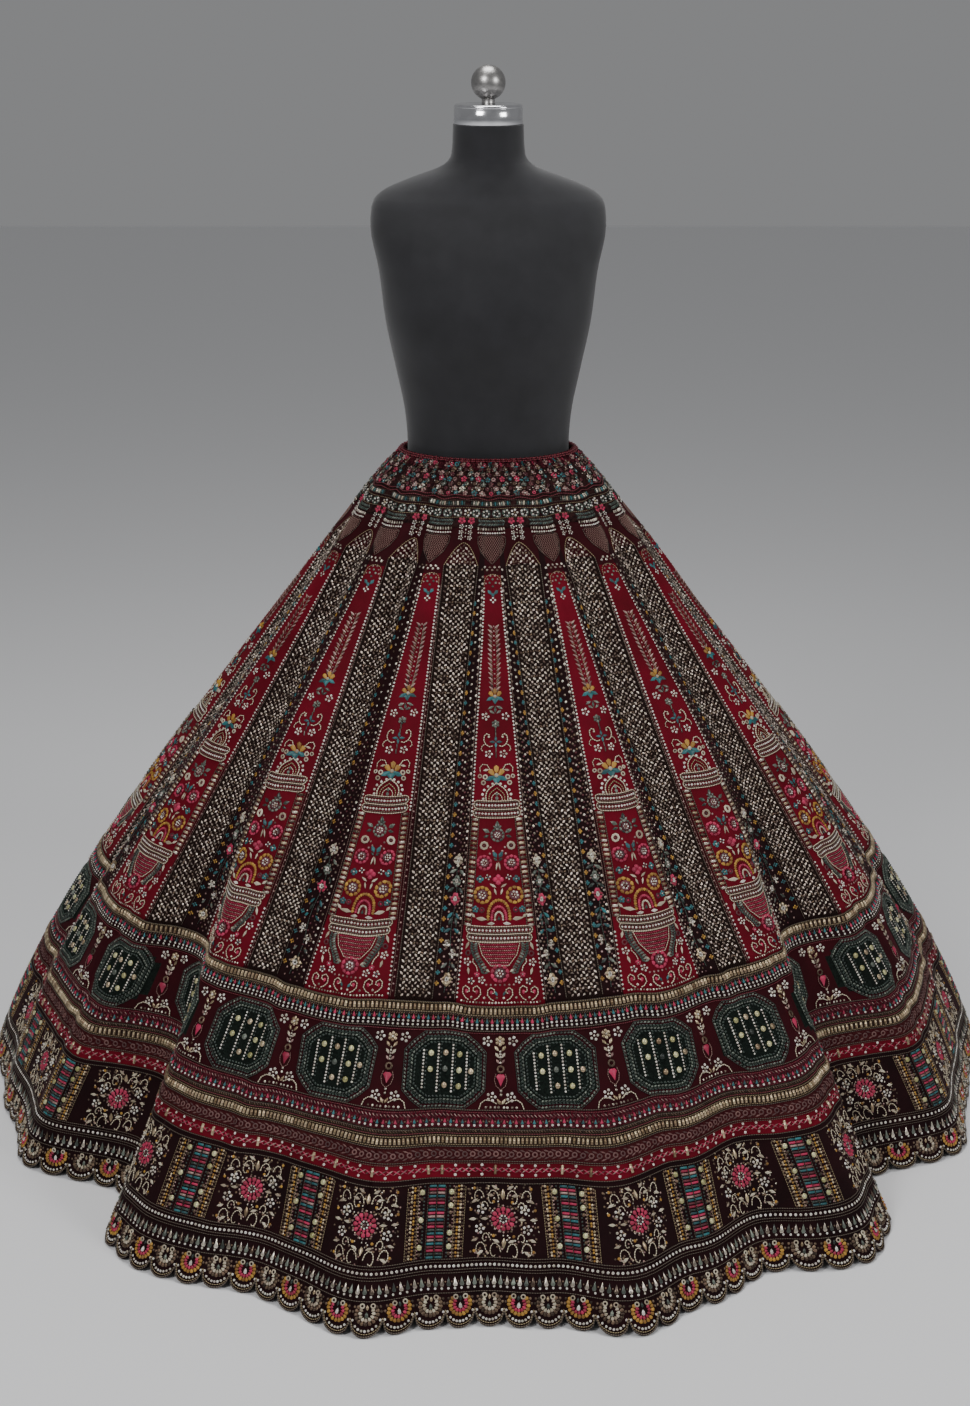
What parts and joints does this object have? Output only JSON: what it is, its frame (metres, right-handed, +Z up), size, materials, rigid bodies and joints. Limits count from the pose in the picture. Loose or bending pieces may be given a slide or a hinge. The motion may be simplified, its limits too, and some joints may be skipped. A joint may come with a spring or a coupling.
{
  "type": "lehenga skirt on a dress form",
  "caption": "Flared floor-length embroidered velvet lehenga skirt with kali panels, a deep border and a scalloped hem, standing on a limbless dress form with a round base.",
  "frame": {"origin": "on the floor under the dress form's axis, at the middle of the base's underside", "axes": "+Z up, -Y towards the front of the skirt, +X to the viewer's right"},
  "size_m": [1.5484, 1.3081, 1.506],
  "materials": {
    "frill_velvet": "gathered maroon velvet edge",
    "yoke_embroidery": "maroon velvet, close flower and bead embroidery",
    "kali_velvet": "maroon and red velvet, sequin, bead and thread embroidery",
    "border_velvet": "dark maroon velvet, medallions, beads, scallops",
    "gold_braid": "antique gold metal-thread braid",
    "form_cover": "black jersey cover, stretched smooth",
    "cap_chrome": "polished",
    "stand_steel": "brushed"
  },
  "bodies": {
    "root": {"waist_frill": "frill_velvet", "yoke": "yoke_embroidery", "kali_01": "kali_velvet", "kali_02": "kali_velvet", "kali_03": "kali_velvet", "kali_04": "kali_velvet", "kali_05": "kali_velvet", "kali_06": "kali_velvet", "kali_07": "kali_velvet", "kali_08": "kali_velvet", "kali_09": "kali_velvet", "kali_10": "kali_velvet", "kali_11": "kali_velvet", "kali_12": "kali_velvet", "kali_13": "kali_velvet", "kali_14": "kali_velvet", "border_piece_01": "border_velvet", "border_piece_02": "border_velvet", "border_piece_03": "border_velvet", "border_piece_04": "border_velvet", "border_piece_05": "border_velvet", "border_piece_06": "border_velvet", "border_piece_07": "border_velvet", "border_piece_08": "border_velvet", "border_piece_09": "border_velvet", "border_piece_10": "border_velvet", "border_piece_11": "border_velvet", "border_piece_12": "border_velvet", "upper_braid": "gold_braid", "middle_braid": "gold_braid", "form_torso": "form_cover", "form_neck_cap": "cap_chrome", "form_finial": "stand_steel", "form_pole": "stand_steel", "form_base": "stand_steel"}
  },
  "joints": []
}
